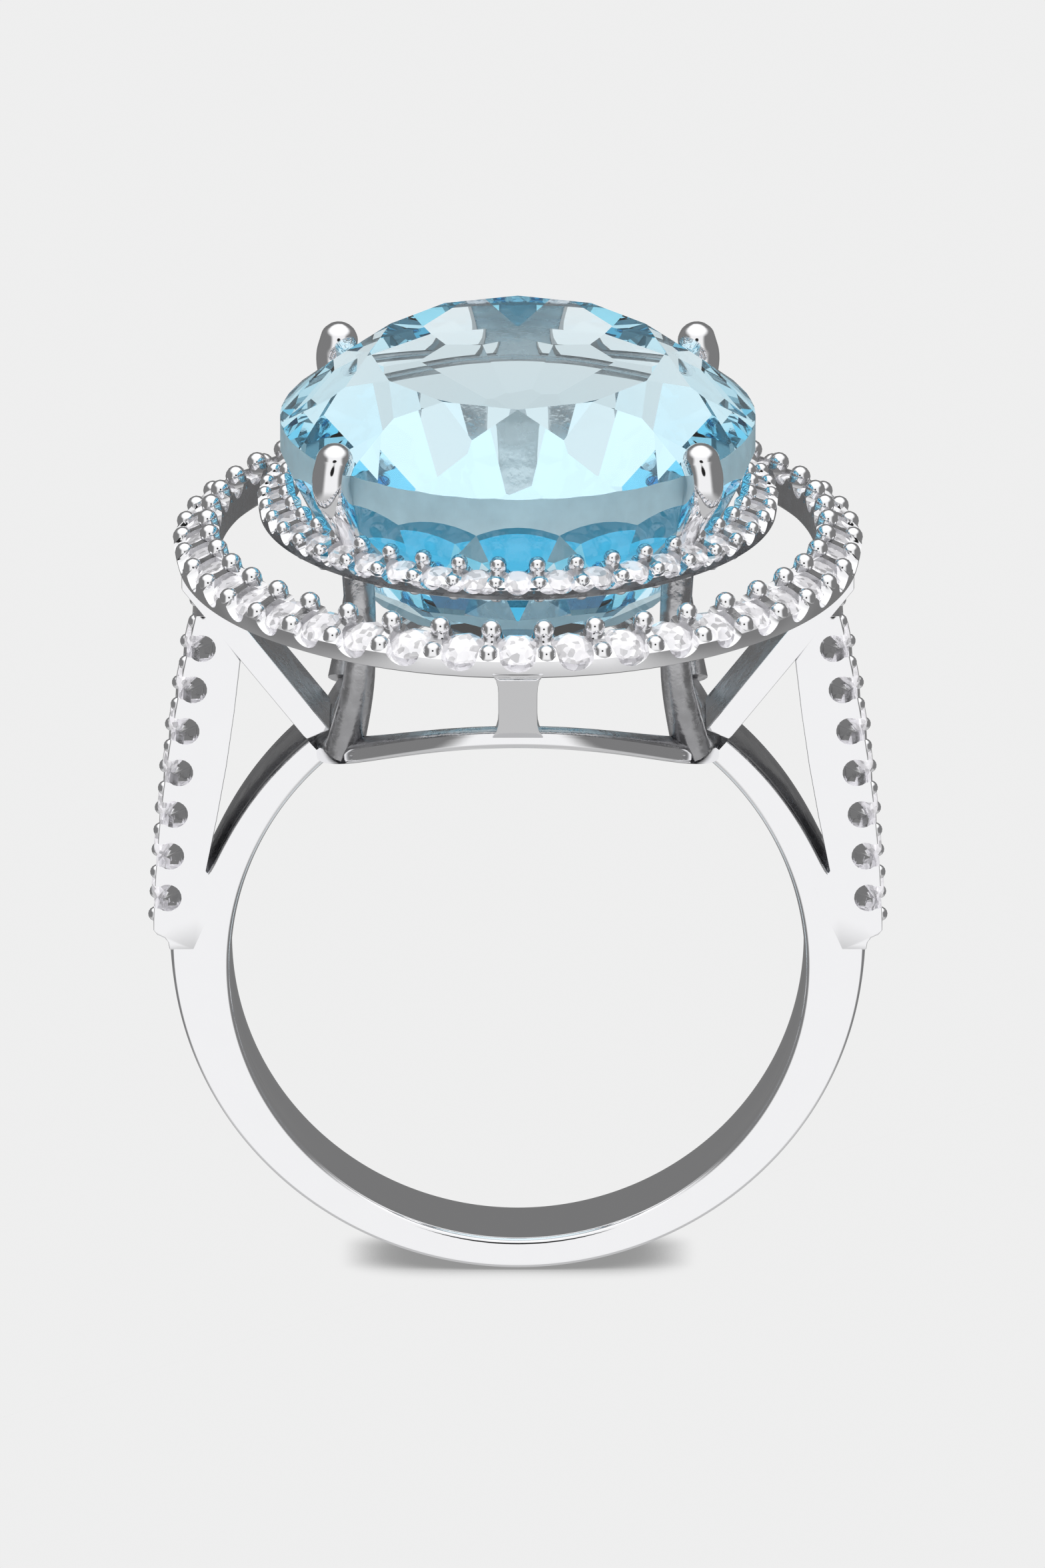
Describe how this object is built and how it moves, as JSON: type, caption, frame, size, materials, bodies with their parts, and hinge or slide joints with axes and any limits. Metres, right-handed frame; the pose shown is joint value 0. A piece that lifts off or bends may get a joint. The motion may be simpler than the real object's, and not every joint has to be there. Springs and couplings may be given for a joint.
{
  "type": "cocktail ring",
  "caption": "Cocktail ring: large oval light-blue faceted stone in four round prongs above two oval halos of small white stones, on an open gallery and a split-shoulder band.",
  "frame": {"origin": "centre of the finger hole, halfway through the band's width", "axes": "+Z from the finger hole up through the big stone; +Y along the finger, towards the back of the ring; +X across the band, to the right seen from the front"},
  "size_m": [0.0222, 0.025, 0.0284],
  "materials": {
    "white_metal": "mirror-polished white metal with rhodium plating",
    "white_stone": "polished colourless faceted stone",
    "blue_stone": "polished light-blue faceted stone with a frosted girdle"
  },
  "bodies": {
    "root": {"shank": "white_metal", "shoulder_arm_left": "white_metal", "shoulder_strut_left": "white_metal", "shoulder_stone_left_1": "white_stone", "shoulder_stone_left_2": "white_stone", "shoulder_stone_left_3": "white_stone", "shoulder_stone_left_4": "white_stone", "shoulder_stone_left_5": "white_stone", "shoulder_stone_left_6": "white_stone", "shoulder_stone_left_7": "white_stone", "shoulder_arm_right": "white_metal", "shoulder_strut_right": "white_metal", "shoulder_stone_right_1": "white_stone", "shoulder_stone_right_2": "white_stone", "shoulder_stone_right_3": "white_stone", "shoulder_stone_right_4": "white_stone", "shoulder_stone_right_5": "white_stone", "shoulder_stone_right_6": "white_stone", "shoulder_stone_right_7": "white_stone", "gallery_rail": "white_metal", "gallery_post_front": "white_metal", "gallery_post_back": "white_metal", "prong_front_left": "white_metal", "prong_front_right": "white_metal", "prong_back_left": "white_metal", "prong_back_right": "white_metal", "outer_halo_frame": "white_metal", "inner_halo_frame": "white_metal", "outer_halo_stones_1": "white_stone", "outer_halo_stones_2": "white_stone", "outer_halo_stones_3": "white_stone", "outer_halo_stones_4": "white_stone", "outer_halo_stones_5": "white_stone", "outer_halo_stones_6": "white_stone", "inner_halo_stones_1": "white_stone", "inner_halo_stones_2": "white_stone", "inner_halo_stones_3": "white_stone", "inner_halo_stones_4": "white_stone", "inner_halo_stones_5": "white_stone", "inner_halo_stones_6": "white_stone", "centre_stone": "blue_stone"}
  },
  "joints": []
}
